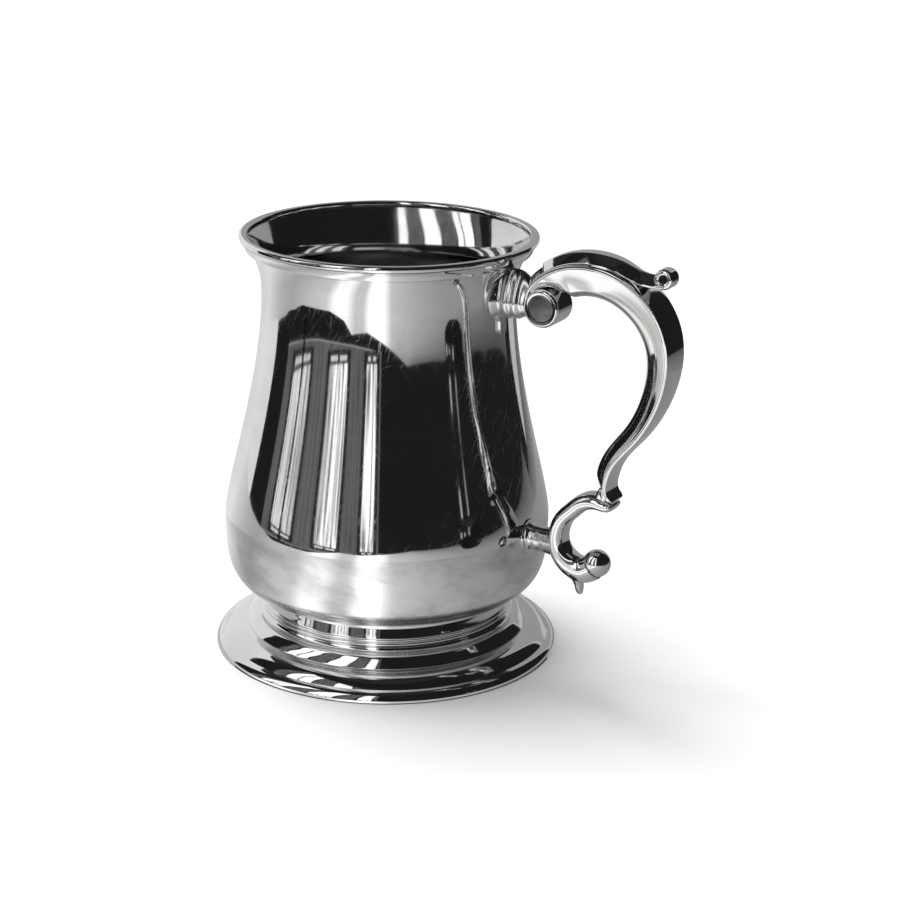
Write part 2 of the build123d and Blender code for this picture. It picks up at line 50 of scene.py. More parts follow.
# ------------------------------------------------------------------ sizes, in millimetres
RIM_RADIUS, RIM_HEIGHT = 43.95, 127.0
LIP_SEAT_RADIUS, LIP_SEAT_HEIGHT = 42.7, 125.2
NECK_RADIUS, NECK_HEIGHT = 37.4, 109.5
BELLY_RADIUS, SEAM_HEIGHT = 48.8, 42.6
WAIST_RADIUS, WAIST_HEIGHT = 37.0, 18.2
CUP_WALL = 1.5
FLOOR_RADIUS = 34.5
COLLAR_RADIUS, COLLAR_HEIGHT = 38.7, 10.4    # where the collar stands on the flange
EDGE_RADIUS, EDGE_HEIGHT = 49.4, 3.3         # where the flange meets the edge wire
FOOT_RADIUS = 52.0
HANDLE_ROOT, HANDLE_REACH = 46.7, 46.2       # the scroll's nearest point to the axis, its reach from there
SCROLL_TOP, SCROLL_FOOT = 126.9, 61.1
STRIP = 1.0                                  # thickness of the handle's back strip
UPPER_JOINT, LOWER_JOINT = 112.6, 41.9       # heights of the two necks


# ------------------------------------------------------------------ curves
def bezier(points, count):
    """Points along a cubic Bezier curve."""
    p = np.array(points, float)
    t = np.linspace(0, 1, count)[:, None]
    return (1 - t) ** 3 * p[0] + 3 * (1 - t) ** 2 * t * p[1] + 3 * (1 - t) * t * t * p[2] + t**3 * p[3]


def spline(points, count):
    """Evenly spaced points along a natural cubic spline through the given points."""
    p = np.array(points, float)
    u = np.concatenate([[0], np.cumsum(np.linalg.norm(np.diff(p, axis=0), axis=1))])
    n = len(p)
    h = np.diff(u)
    a = np.zeros((n, n))
    b = np.zeros((n, p.shape[1]))
    a[0, 0] = a[-1, -1] = 1
    for i in range(1, n - 1):
        a[i, i - 1], a[i, i], a[i, i + 1] = h[i - 1], 2 * (h[i - 1] + h[i]), h[i]
        b[i] = 6 * ((p[i + 1] - p[i]) / h[i] - (p[i] - p[i - 1]) / h[i - 1])
    m = np.linalg.solve(a, b)

    def at(v):
        i = np.clip(np.searchsorted(u, v) - 1, 0, n - 2)
        w, g = v - u[i], h[i]
        w, g = w[:, None], g[:, None]
        return (
            m[i] * (g - w) ** 3 / (6 * g)
            + m[i + 1] * w**3 / (6 * g)
            + (p[i] / g - m[i] * g / 6) * (g - w)
            + (p[i + 1] / g - m[i + 1] * g / 6) * w
        )

    fine = at(np.linspace(0, u[-1], 2000))
    length = np.concatenate([[0], np.cumsum(np.linalg.norm(np.diff(fine, axis=0), axis=1))])
    even = np.linspace(0, length[-1], count)
    return np.stack([np.interp(even, length, fine[:, k]) for k in range(p.shape[1])], axis=1)


def rounded(corners, radii, steps):
    """A polyline whose inner corners are rounded; its ends stay where they are."""
    p = [np.array(c, float) for c in corners]
    out = [p[0]]
    for i in range(1, len(p) - 1):
        r = radii[i - 1]
        if r <= 0:
            out.append(p[i])
            continue
        to_last, to_next = p[i - 1] - p[i], p[i + 1] - p[i]
        l0, l1 = np.linalg.norm(to_last), np.linalg.norm(to_next)
        cut = min(r, 0.49 * l0, 0.49 * l1)
        a, b = p[i] + to_last / l0 * cut, p[i] + to_next / l1 * cut
        for t in np.linspace(0, 1, steps + 1):
            out.append((1 - t) ** 2 * a + 2 * t * (1 - t) * p[i] + t * t * b)
    out.append(p[-1])
    return np.array(out)


def closed_round(corners, radii, steps=5):
    """A closed loop with rounded corners."""
    out = []
    for i in range(len(corners)):
        three = [corners[i - 1], corners[i], corners[(i + 1) % len(corners)]]
        last, corner, following = [np.array(c, float) for c in three]
        l0, l1 = np.linalg.norm(last - corner), np.linalg.norm(following - corner)
        cut = min(radii[i], 0.48 * l0, 0.48 * l1)
        a, b = corner + (last - corner) / l0 * cut, corner + (following - corner) / l1 * cut
        for t in np.linspace(0, 1, steps + 1):
            out.append(tuple((1 - t) ** 2 * a + 2 * t * (1 - t) * corner + t * t * b))
    return out


def arc(centre, radius, start, end, count=10):
    """Points on a circle between two angles in degrees."""
    return [
        (centre[0] + radius * cos(radians(a)), centre[1] + radius * sin(radians(a)))
        for a in np.linspace(start, end, count)
    ]


def mirrored(half):
    """A whole outline of (radius, height) from its upper half."""
    return half + [(r, -y) for r, y in half[::-1]]


def ease(x, start, end):
    """Zero before start, one after end, and a smooth step between them."""
    t = min(max((x - start) / (end - start), 0.0), 1.0)
    return t * t * (3 - 2 * t)


def mix(a, b, t):
    """The value a share t of the way from a to b."""
    return a + (b - a) * t


# ------------------------------------------------------------------ mesh builders
SHARP = 38   # degrees between two faces from which their edge stays sharp


def mesh_object(name, verts, faces, materials, indices=None, sharp=SHARP):
    """A mesh from points in millimetres, smooth but for its sharp edges."""
    mesh = bpy.data.meshes.new(name)
    mesh.from_pydata([tuple(v) for v in np.asarray(verts, float) * MM], [], faces)
    mesh.validate()
    for material in materials:
        mesh.materials.append(material)
    if indices is not None:
        mesh.polygons.foreach_set("material_index", indices)
    mesh.polygons.foreach_set("use_smooth", [True] * len(mesh.polygons))
    mesh.update()
    mesh.set_sharp_from_angle(angle=radians(sharp))
    obj = bpy.data.objects.new(name, mesh)
    bpy.context.scene.collection.objects.link(obj)
    return obj


SAME, ON_AXIS = 1e-4, 1e-6   # millimetres: two outline points are one, and a point lies on the axis


def lathe(name, runs, materials, segments, place=None, sharp=30):
    """Turns a closed outline about Z. It is made of (points, material index), each point (radius, height)."""
    profile, slots = [], []
    for points, slot in runs:
        for point in points:
            if profile and hypot(point[0] - profile[-1][0], point[1] - profile[-1][1]) < SAME:
                continue
            profile.append(tuple(point))
            slots.append(slot)
    if hypot(profile[0][0] - profile[-1][0], profile[0][1] - profile[-1][1]) < SAME:
        profile.pop()
        slots.pop()
    n = len(profile)
    verts, faces, indices, row = [], [], [], []
    around = [2 * pi * k / segments for k in range(segments)]
    for r, z in profile:
        if r < ON_AXIS:
            row.append((len(verts), 1))
            verts.append((0, 0, z))
        else:
            row.append((len(verts), segments))
            verts += [(r * cos(a), r * sin(a), z) for a in around]
    for i in range(n):
        j = (i + 1) % n
        (a, na), (b, nb) = row[i], row[j]
        if na == 1 and nb == 1:
            continue
        for k in range(segments):
            m = (k + 1) % segments
            if na == 1:
                face = (a, b + m, b + k)
            elif nb == 1:
                face = (a + k, a + m, b)
            else:
                face = (a + k, a + m, b + m, b + k)
            faces.append(face)
            indices.append(slots[j] if j else slots[0])
    verts = np.array(verts, float)
    if place is not None:
        verts = np.array([tuple(place @ Vector(v)) for v in verts])
    return outward(mesh_object(name, verts, faces, materials, indices, sharp))


def outward(obj):
    """Makes the faces of a closed mesh point out."""
    mesh = obj.data
    volume = 0.0
    for poly in mesh.polygons:
        corners = [mesh.vertices[index].co for index in poly.vertices]
        for b, c in zip(corners[1:], corners[2:]):
            volume += corners[0].dot(b.cross(c))
    if volume < 0:
        mesh.flip_normals()
    return obj


def sweep(name, rings, materials, sharp):
    """Joins rings of points, all with the same count, and closes both ends."""
    count = len(rings[0])
    verts = np.concatenate([np.asarray(r, float) for r in rings])
    faces = []
    for i in range(len(rings) - 1):
        for k in range(count):
            m = (k + 1) % count
            a, b = i * count, (i + 1) * count
            faces.append((a + k, a + m, b + m, b + k))
    faces.append(tuple(range(count))[::-1])
    faces.append(tuple(range((len(rings) - 1) * count, len(rings) * count)))
    return outward(mesh_object(name, verts, faces, materials, None, sharp))


def joined(name, shells):
    """One piece made of several closed shells that run into each other."""
    mesh = bpy.data.meshes.new(name)
    work = bmesh.new()
    for shell in shells:
        work.from_mesh(shell.data)
    work.to_mesh(mesh)
    work.free()
    for material in shells[0].data.materials:
        mesh.materials.append(material)
    for shell in shells:
        bpy.data.objects.remove(shell)
    obj = bpy.data.objects.new(name, mesh)
    bpy.context.scene.collection.objects.link(obj)
    return obj


class Path:
    """A side-view curve in the plane Y = 0, with its outward normal on its left."""

    def __init__(self, points, count):
        self.p = spline(points, count)
        t = np.gradient(self.p, axis=0)
        self.t = t / np.linalg.norm(t, axis=1)[:, None]
        self.count = count

    def ring(self, i, section):
        """Section points (sideways, outwards) placed across the curve at station i."""
        (x, z), (tx, tz) = self.p[i], self.t[i]
        nx, nz = -tz, tx
        return [(x + nx * o, y, z + nz * o) for y, o in section]

    def share(self, i):
        """Station i as a share of the curve's length."""
        return i / (self.count - 1)


# ------------------------------------------------------------------ pewter
UNROLL_RADIUS = 0.045    # metres; where the scratched surface of a turned piece keeps its true width
HAIRLINES = (            # direction in radians, stretch along it, and the level where the crests are cut
    (0.95, 0.6, 0.675), (1.25, 1.1, 0.69), (2.2, 0.8, 0.70), (0.35, 1.3, 0.71),
)
HAIR_SCALE, HAIR_NARROW, HAIR_EDGE = 95.0, 46.0, 0.05
COLOUR_A, COLOUR_B, COLOUR_OUT = 6, 7, 2   # the colour sockets of a Mix node


def pewter(
    name, tone, rough, scratches, smudge, turning=0.0, bump=0.02, turned=True, cloud_size=0.05, metal=1.0
):
    """Polished pewter: hairline scratches, faint smudges of handling, and turning lines if asked.
    On a turned piece the scratches lie in the surface, which is unrolled round the axis."""
    material = bpy.data.materials.new(name)
    material.use_nodes = True
    tree = material.node_tree
    tree.nodes.clear()
    add, link = tree.nodes.new, tree.links.new
    out = add("ShaderNodeOutputMaterial")
    shader = add("ShaderNodeBsdfPrincipled")
    shader.inputs["Metallic"].default_value = metal
    link(shader.outputs[0], out.inputs[0])
    where = add("ShaderNodeTexCoord")

    def noise(scale, stretch, turn, detail, grain=0.5, source=None):
        mapping = add("ShaderNodeMapping")
        mapping.vector_type = "TEXTURE"
        mapping.inputs["Rotation"].default_value = turn
        mapping.inputs["Scale"].default_value = tuple(1 / k for k in stretch)
        link(source or where.outputs["Object"], mapping.inputs["Vector"])
        texture = add("ShaderNodeTexNoise")
        texture.inputs["Scale"].default_value = scale
        texture.inputs["Detail"].default_value = detail
        texture.inputs["Roughness"].default_value = grain
        link(mapping.outputs[0], texture.inputs["Vector"])
        return texture.outputs["Fac"]

    def ramp(source, low, high, a=0.0, b=1.0):
        node = add("ShaderNodeMapRange")
        node.interpolation_type = "SMOOTHSTEP"
        for key, value in (("From Min", low), ("From Max", high), ("To Min", a), ("To Max", b)):
            node.inputs[key].default_value = value
        link(source, node.inputs["Value"])
        return node.outputs[0]

    def math(kind, a, b=0.0):
        node = add("ShaderNodeMath")
        node.operation = kind
        for k, value in enumerate((a, b)):
            if isinstance(value, (int, float)):
                node.inputs[k].default_value = value
            else:
                link(value, node.inputs[k])
        return node.outputs[0]

    split = add("ShaderNodeSeparateXYZ")
    link(where.outputs["Object"], split.inputs[0])
    unrolled = None
    if turned:
        flat = add("ShaderNodeCombineXYZ")
        heading = math("ARCTAN2", split.outputs[1], split.outputs[0])
        link(math("MULTIPLY", heading, UNROLL_RADIUS), flat.inputs[0])
        link(split.outputs[2], flat.inputs[1])
        unrolled = flat.outputs[0]

    # hairlines in four directions, each a very stretched noise cut to its crests
    hair = None
    for turn, along, low in HAIRLINES:
        turns = (0, 0, turn) if turned else (0.3 + turn, 1.1 * turn, turn)
        crests = noise(HAIR_SCALE, (along, HAIR_NARROW, HAIR_NARROW), turns, 1.0, source=unrolled)
        lines = ramp(crests, low, low + HAIR_EDGE)
        hair = lines if hair is None else math("MAXIMUM", hair, lines)
    patch = ramp(noise(26.0, (1, 1, 1), (0.2, 0.1, 0.4), 3.0), 0.42, 0.66)
    worn = ramp(noise(18.0, (1, 1, 1), (1.0, 0.3, 0.0), 2.0), 0.40, 0.62, 0.15, 1.0)
    hair = math("MULTIPLY", hair, worn)
    cloud = noise(1 / cloud_size, (1, 1, 2.2), (0.0, 0.15, 0.1), 5.0, 0.62)

    # colour: neutral grey, a little darker and warmer where it has been handled
    dark = tone * (1 - smudge)
    base = add("ShaderNodeMix")
    base.data_type = "RGBA"
    base.inputs[COLOUR_A].default_value = (tone, tone, tone * 0.992, 1)
    base.inputs[COLOUR_B].default_value = (dark, dark, dark * 0.985, 1)
    link(ramp(cloud, 0.38, 0.66), base.inputs[0])
    link(base.outputs[COLOUR_OUT], shader.inputs["Base Color"])

    # gloss: the patches, the cloud and the hairlines are a little rougher
    roughness = math("ADD", rough, math("MULTIPLY", math("ADD", patch, cloud), rough * 0.45))
    roughness = math("ADD", roughness, math("MULTIPLY", hair, scratches))
    link(roughness, shader.inputs["Roughness"])

    # relief: cut hairlines, a fine grain, soft waves, and the marks of the lathe
    height = math("MULTIPLY", hair, -0.6)
    height = math("ADD", height, math("MULTIPLY", noise(180.0, (1, 1, 1), (0, 0, 0), 2.0), 0.05))
    height = math("ADD", height, math("MULTIPLY", cloud, 0.8))
    if turning:
        lathe_marks = add("ShaderNodeTexNoise")
        lathe_marks.noise_dimensions = "1D"
        x_squared, y_squared = (math("POWER", split.outputs[k], 2.0) for k in (0, 1))
        radius = math("SQRT", math("ADD", x_squared, y_squared))
        link(math("ADD", split.outputs[2], radius), lathe_marks.inputs["W"])
        lathe_marks.inputs["Scale"].default_value = 900.0
        lathe_marks.inputs["Detail"].default_value = 2.0
        height = math("ADD", height, math("MULTIPLY", lathe_marks.outputs["Fac"], turning))
    relief = add("ShaderNodeBump")
    relief.inputs["Strength"].default_value = bump
    relief.inputs["Distance"].default_value = 0.0004
    link(height, relief.inputs["Height"])
    link(relief.outputs[0], shader.inputs["Normal"])
    return material


OUTSIDE = pewter("pewter_outside", tone=0.71, rough=0.035, scratches=0.32, smudge=0.10, cloud_size=0.04)
BOWL = pewter("pewter_bowl", tone=0.70, rough=0.15, scratches=0.10, smudge=0.30, cloud_size=0.022)
INSIDE = pewter("pewter_inside", tone=0.66, rough=0.055, scratches=0.05, smudge=0.14)
FOOT = pewter("pewter_foot", tone=0.70, rough=0.035, scratches=0.06, smudge=0.10)
DEEP = pewter("pewter_deep", tone=0.62, rough=0.30, scratches=0.05, smudge=0.15, metal=0.5)
UNDER = pewter("pewter_under", tone=0.50, rough=0.22, scratches=0.05, smudge=0.15, turning=0.4, bump=0.08)
CAST = pewter(
    "pewter_cast", tone=0.70, rough=0.04, scratches=0.10, smudge=0.10, bump=0.014, turned=False,
    cloud_size=0.02,
)
SOFT = pewter(
    "pewter_cast_soft", tone=0.67, rough=0.13, scratches=0.10, smudge=0.20, turned=False, cloud_size=0.01
)
DULL = pewter(
    "pewter_cast_dull", tone=0.20, rough=0.26, scratches=0.10, smudge=0.40, turned=False, cloud_size=0.006
)


def settle(obj, slot, *nodes):
    """A finished piece: it rides on the body and stands for its CAD nodes. Its slot argument is not used."""
    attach(obj, "root")
    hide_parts(*nodes)


# the two back plates are shown as the CAD has them, so the CAD's nodes get a finish too
for cad_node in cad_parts.values():
    cad_node.data.materials.clear()
    cad_node.data.materials.append(CAST)


# ------------------------------------------------------------------ studio
CAMERA_HEADING, CAMERA_TILT, CAMERA_ROLL = 29.37, 71.657, 0.896   # degrees
CAMERA_PLACE = (0.3383, -0.5630, 0.2779)                          # metres
FACING = -60.6   # heading from the cup to the camera; the studio's panels are placed from it

camera_data = bpy.data.cameras.new("camera")
camera_data.lens = 92.0
camera_data.sensor_width = 36.0
camera = bpy.data.objects.new("camera", camera_data)
camera.matrix_world = (
    Matrix.Translation(CAMERA_PLACE)
    @ Matrix.Rotation(radians(CAMERA_HEADING), 4, "Z")
    @ Matrix.Rotation(radians(CAMERA_TILT), 4, "X")
    @ Matrix.Rotation(radians(CAMERA_ROLL), 4, "Z")
)
bpy.context.scene.collection.objects.link(camera)
bpy.context.scene.camera = camera

scene = bpy.context.scene
scene.view_settings.view_transform = "Standard"
scene.view_settings.look = "None"

# the air is white to the camera and an even, weaker light to everything else
world = bpy.data.worlds.new("studio_air")
scene.world = world
world.use_nodes = True
air = world.node_tree
air.nodes.clear()
air_out = air.nodes.new("ShaderNodeOutputWorld")
air_mix = air.nodes.new("ShaderNodeMixShader")
seen = air.nodes.new("ShaderNodeBackground")
lit = air.nodes.new("ShaderNodeBackground")
ray = air.nodes.new("ShaderNodeLightPath")
seen.inputs["Color"].default_value = (1, 1, 1, 1)
lit.inputs["Color"].default_value = (1, 1, 1, 1)
lit.inputs["Strength"].default_value = 0.62
air.links.new(ray.outputs["Is Camera Ray"], air_mix.inputs[0])
air.links.new(lit.outputs[0], air_mix.inputs[1])
air.links.new(seen.outputs[0], air_mix.inputs[2])
air.links.new(air_mix.outputs[0], air_out.inputs[0])


def glow(name, strength, streaks=0.0):
    """An even light of one strength, or one that varies softly sideways like a curtained window."""
    material = bpy.data.materials.new(name)
    material.use_nodes = True
    tree = material.node_tree
    tree.nodes.clear()
    out = tree.nodes.new("ShaderNodeOutputMaterial")
    emit = tree.nodes.new("ShaderNodeEmission")
    emit.inputs["Strength"].default_value = strength
    tree.links.new(emit.outputs[0], out.inputs[0])
    if streaks:
        where = tree.nodes.new("ShaderNodeTexCoord")
        mapping = tree.nodes.new("ShaderNodeMapping")
        mapping.inputs["Scale"].default_value = (1, 1, 0.14)
        texture = tree.nodes.new("ShaderNodeTexNoise")
        texture.inputs["Scale"].default_value = 24.0
        texture.inputs["Detail"].default_value = 3.0
        scale = tree.nodes.new("ShaderNodeMapRange")
        scale.inputs["From Min"].default_value = 0.35
        scale.inputs["From Max"].default_value = 0.65
        scale.inputs["To Min"].default_value = strength * (1 - streaks)
        scale.inputs["To Max"].default_value = strength * (1 + streaks)
        tree.links.new(where.outputs["Object"], mapping.inputs[0])
        tree.links.new(mapping.outputs[0], texture.inputs["Vector"])
        tree.links.new(texture.outputs["Fac"], scale.inputs["Value"])
        tree.links.new(scale.outputs[0], emit.inputs["Strength"])
    material.cycles.emission_sampling = "NONE"
    return material


def mirror_only(obj):
    """A studio card: the polished metal reflects it, and nothing else sees it."""
    obj.visible_camera = False
    obj.visible_diffuse = False
    obj.visible_shadow = False
    obj.visible_transmission = False
    obj.visible_volume_scatter = False


CARD_STEP = 1.5   # degrees between the stations of a curved card


def card(name, start, end, low, high, radius, strength, streaks=0.0):
    """An upright curved card between two headings from the camera's, low to high, in millimetres.
    low and high may be lists of (heading, height), for a card with a shaped edge."""
    steps = max(2, int(abs(end - start) / CARD_STEP))
    edges = [edge if isinstance(edge, list) else [(start, edge), (end, edge)] for edge in (low, high)]
    verts, faces = [], []
    for k in range(steps + 1):
        turn = start + (end - start) * k / steps
        a = radians(FACING + turn)
        for edge in edges:
            height = float(np.interp(turn, [e[0] for e in edge], [e[1] for e in edge]))
            verts.append((radius * cos(a), radius * sin(a), height))
        if k:
            faces.append((2 * k - 2, 2 * k - 1, 2 * k + 1, 2 * k))
    mirror_only(mesh_object(name, verts, faces, [glow(name, strength, streaks)]))


def flat_card(name, height, rings, tones):
    """A level card round the object. Each ring is (radius, share of the tone), and both may be functions
    of the heading; tones gives brightness by heading."""
    headings = np.arange(-180, 180, 1.0)
    verts, faces, shades = [], [], []
    for radius, share in rings:
        for turn in headings:
            a = radians(FACING + turn)
            r = radius(turn) if callable(radius) else radius
            verts.append((r * cos(a), r * sin(a), height))
            tone = float(np.interp(turn, [t[0] for t in tones], [t[1] for t in tones]))
            shades.append(tone * (share(turn) if callable(share) else share))
    n = len(headings)
    for i in range(len(rings) - 1):
        for k in range(n):
            m = (k + 1) % n
            faces.append((i * n + k, i * n + m, (i + 1) * n + m, (i + 1) * n + k))
    material = bpy.data.materials.new(name)
    material.use_nodes = True
    tree = material.node_tree
    tree.nodes.clear()
    out = tree.nodes.new("ShaderNodeOutputMaterial")
    emit = tree.nodes.new("ShaderNodeEmission")
    shade = tree.nodes.new("ShaderNodeAttribute")
    shade.attribute_name = "tone"
    tree.links.new(shade.outputs["Fac"], emit.inputs["Strength"])
    tree.links.new(emit.outputs[0], out.inputs[0])
    material.cycles.emission_sampling = "NONE"
    obj = mesh_object(name, verts, faces, [material])
    tone = obj.data.attributes.new("tone", "FLOAT", "POINT")
    tone.data.foreach_set("value", shades)
    mirror_only(obj)


# radii and heights of the studio, in millimetres
TENT, BACKDROP, LAMP, STAND = 480, 445, 431, 700
TABLE_LEFT, TABLE_RIGHT = TENT + 2.0, BACKDROP - 5.0   # the table's reach behind the cup, on either side
TABLE_HEIGHT, CEILING, CELLAR = 0.15, 1200, -700
ROOM, ROOM_TOP = 1500, 4300
WALL_AT, SILL_AT, FRAME_AT, PANE_AT = ROOM - 6, ROOM - 9, ROOM - 14, ROOM - 22
WALL_TOP, FRAME_TOP, PANE_TOP, CURTAIN_TOP = 2750, 2700, 2650, 330
FRAME_BESIDE, BAR_BESIDE = 2.4, 0.9                    # degrees beside a window, and beside a small pane
WALL_FROM, WALL_TO = -95, -4.5                         # headings of the window wall
DARK = 0.016                                           # brightness of the unlit room


def window(name, start, end, foot, strength):
    """A tall window: a dark frame, two small panes along its foot, a curtained pane above them, which
    has the given strength, and a bright bare pane from the top of the curtain up."""
    card(name + "_frame", start - FRAME_BESIDE, end + FRAME_BESIDE, foot, FRAME_TOP, FRAME_AT, 0.03)
    half = (end - start) / 2
    for k in (0, 1):
        left, right = start + k * half + BAR_BESIDE, start + (k + 1) * half - BAR_BESIDE
        card("%s_small_%d" % (name, k), left, right, foot + 30, foot + 54, PANE_AT, 0.9)
    card(name + "_pane", start, end, foot + 70, CURTAIN_TOP, PANE_AT, strength, streaks=0.85)
    card(name + "_top", start, end, CURTAIN_TOP, PANE_TOP, PANE_AT, 1.7)


FLOOR_HALF = 4   # metres
floor_mesh = bpy.data.meshes.new("floor")
floor_corners = [(x * FLOOR_HALF, y * FLOOR_HALF, 0) for x, y in ((-1, -1), (1, -1), (1, 1), (-1, 1))]
floor_mesh.from_pydata(floor_corners, [], [(0, 1, 2, 3)])
floor = bpy.data.objects.new("floor", floor_mesh)
scene.collection.objects.link(floor)
paper = bpy.data.materials.new("studio_paper")
paper.use_nodes = True
paper_shader = paper.node_tree.nodes["Principled BSDF"]
paper_shader.inputs["Base Color"].default_value = (0.93, 0.93, 0.93, 1)
paper_shader.inputs["Roughness"].default_value = 0.9
paper_shader.inputs["Specular IOR Level"].default_value = 0.1
floor_mesh.materials.append(paper)
floor.visible_glossy = False   # the metal reflects the table card instead

TONES = [   # brightness of the table by heading from the camera's
    (-180, 0.55), (-160, 0.75), (-130, 0.98), (-108, 0.62), (-92, 0.52), (-70, 0.72), (-54, 0.85),
    (-46, 1.5), (-35, 1.5), (-27, 0.82), (-20, 0.85), (-13, 1.9), (-5, 1.9), (4, 0.80), (22, 0.62),
    (50, 0.42), (95, 0.30), (140, 0.36), (165, 0.45), (180, 0.55),
]
EDGE = [    # corners of the table, in millimetres to the camera's right and from the cup towards the camera
    (-462, -173), (-458, -75), (-395, 15), (-262, 85), (-228, 132), (-283, 491), (-150, 515),
    (420, 1330), (797, 668), (707, -25), (480, -330),
]
EDGE_FROM, EDGE_TO = -110, 124   # headings over which EDGE is used


def table_edge(turn):
    """How far the pale table reaches at a heading."""
    if turn < EDGE_FROM or turn > EDGE_TO:
        return TABLE_LEFT if turn < 0 else TABLE_RIGHT
    right, ahead = sin(radians(turn)), cos(radians(turn))
    reach = TABLE_RIGHT
    for (x0, y0), (x1, y1) in zip(EDGE, EDGE[1:]):
        cross = right * (y1 - y0) - ahead * (x1 - x0)
        if abs(cross) < 1e-9:
            continue
        far = (x0 * (y1 - y0) - y0 * (x1 - x0)) / cross
        along = (x0 * ahead - y0 * right) / cross
        if far > 0 and -1e-6 <= along <= 1 + 1e-6:
            reach = far
    return reach


def far_share(turn):
    """The far part of the table darkens to the right."""
    return mix(1.0, 0.3, ease(turn, -4, 26))


def dimming_radius(turn):
    """Where the table begins to darken towards its edge."""
    return max(table_edge(turn) * 0.55, 310)


def dimming_share(turn):
    """How bright the table still is there."""
    return mix(1, far_share(turn), 0.3)


table_rings = [(53, 1), (120, 1), (300, 1), (dimming_radius, dimming_share), (table_edge, far_share)]
flat_card("table_card", TABLE_HEIGHT, table_rings, TONES)
flat_card("ceiling_card", CEILING, [(1, 1), (460, 1)], [(-180, 0.03), (180, 0.03)])
flat_card("cellar_card", CELLAR, [(1, 1), (ROOM, 1)], [(-180, DARK), (180, DARK)])

# pale cards close behind the cup on the left and the right, and the dark room round the rest
card("tent_left", -170, -110.5, 0, 650, TENT, 0.95)
card("backdrop_low", 134, 192, 0, 60, BACKDROP - 1, 0.60)
card("backdrop", 134, 192, 60, 460, BACKDROP, 0.40)
card("dark_behind", 130, 250, 450, 1200, BACKDROP + 5, 0.03)
card("dark_room", -116, 136, CELLAR, ROOM_TOP, ROOM, DARK)

SILL = [(WALL_FROM, -136), (-62, -147), (-31, -117), (WALL_TO, -75)]   # (heading, height)
card("window_wall", WALL_FROM, WALL_TO, SILL, WALL_TOP, WALL_AT, 0.15, streaks=0.3)
sill_under, sill_top = [(a, h - 3) for a, h in SILL], [(a, h + 5) for a, h in SILL]
card("window_sill", WALL_FROM, WALL_TO, sill_under, sill_top, SILL_AT, 0.5)
for name, start, end, foot, strength in (
    ("window_a", -86, -68, -112, 0.85),
    ("window_b", -49.5, -33, -92, 1.05),
    ("window_c", -16.5, -8, -84, 1.3),
):
    window(name, start, end, foot, strength)

# a photographer's stand by the windows, and a dark lamp head with lit slits on the right
card("stand", -76.6, -75.0, -200, 1500, STAND, 0.004)
lamp_under = [(50, 24), (52, 9), (55, 1), (58, 0), (62, 1), (65, 9), (67, 24)]
card("lamp_head", 50, 67, lamp_under, 60, LAMP, 0.012)
SLIT_WIDTH = 1.2
SLITS = ((50.6, 42, 54), (53.2, 45, 52), (56.5, 44, 57), (52.4, 72, 90), (57.5, 70, 92))
for number, (turn, low, high) in enumerate(SLITS):
    card("slit_%d" % number, turn, turn + SLIT_WIDTH, low, high, LAMP - 5, 0.45, streaks=0.7)

sun_data = bpy.data.lights.new("soft_light", "SUN")
sun_data.energy = 2.1
sun_data.angle = radians(34)
sun = bpy.data.objects.new("soft_light", sun_data)
sun.location = (-0.5, 0.15, 1.3)
sun.rotation_euler = sun.location.to_track_quat("Z", "Y").to_euler()
sun.visible_glossy = False
scene.collection.objects.link(sun)


# ------------------------------------------------------------------ cup
# handles of the outline's Bezier curves: shares of each curve's rise, and of the flare's spread
BOWL_FOOT_PULL, BOWL_BELLY_PULL = 0.11, 0.39
BARREL_BELLY_PULL, BARREL_NECK_PULL = 0.16, 0.375
FLARE_NECK_PULL, FLARE_LIP_PULL, FLARE_SPREAD = 0.44, 0.685, 0.34


def bowl(grow):
    """Waist to the belly seam, moved out by grow."""
    rise = SEAM_HEIGHT - WAIST_HEIGHT
    return bezier(
        [
            (WAIST_RADIUS, WAIST_HEIGHT - grow),
            (BELLY_RADIUS - 0.3 + 0.7 * grow, WAIST_HEIGHT + BOWL_FOOT_PULL * rise - 0.7 * grow),
            (BELLY_RADIUS + 0.05 + grow, WAIST_HEIGHT + BOWL_BELLY_PULL * rise),
            (BELLY_RADIUS + grow, SEAM_HEIGHT),
        ],
        44,
    )


def barrel(grow, count=72):
    """Belly seam to neck: the straight flank leaves the seam at a slight angle."""
    rise = NECK_HEIGHT - SEAM_HEIGHT
    return bezier(
        [
            (BELLY_RADIUS + grow, SEAM_HEIGHT),
            (BELLY_RADIUS - 0.9 + grow, SEAM_HEIGHT + BARREL_BELLY_PULL * rise),
            (NECK_RADIUS + grow, NECK_HEIGHT - BARREL_NECK_PULL * rise),
            (NECK_RADIUS + grow, NECK_HEIGHT),
        ],
        count,
    )


def flare(grow):
    """Neck to the seat of the lip wire."""
    rise, out = LIP_SEAT_HEIGHT - NECK_HEIGHT, LIP_SEAT_RADIUS - NECK_RADIUS
    return bezier(
        [
            (NECK_RADIUS + grow, NECK_HEIGHT),
            (NECK_RADIUS + grow, NECK_HEIGHT + FLARE_NECK_PULL * rise),
            (NECK_RADIUS + FLARE_SPREAD * out + grow, NECK_HEIGHT + FLARE_LIP_PULL * rise),
            (LIP_SEAT_RADIUS + grow, LIP_SEAT_HEIGHT),
        ],
        36,
    )


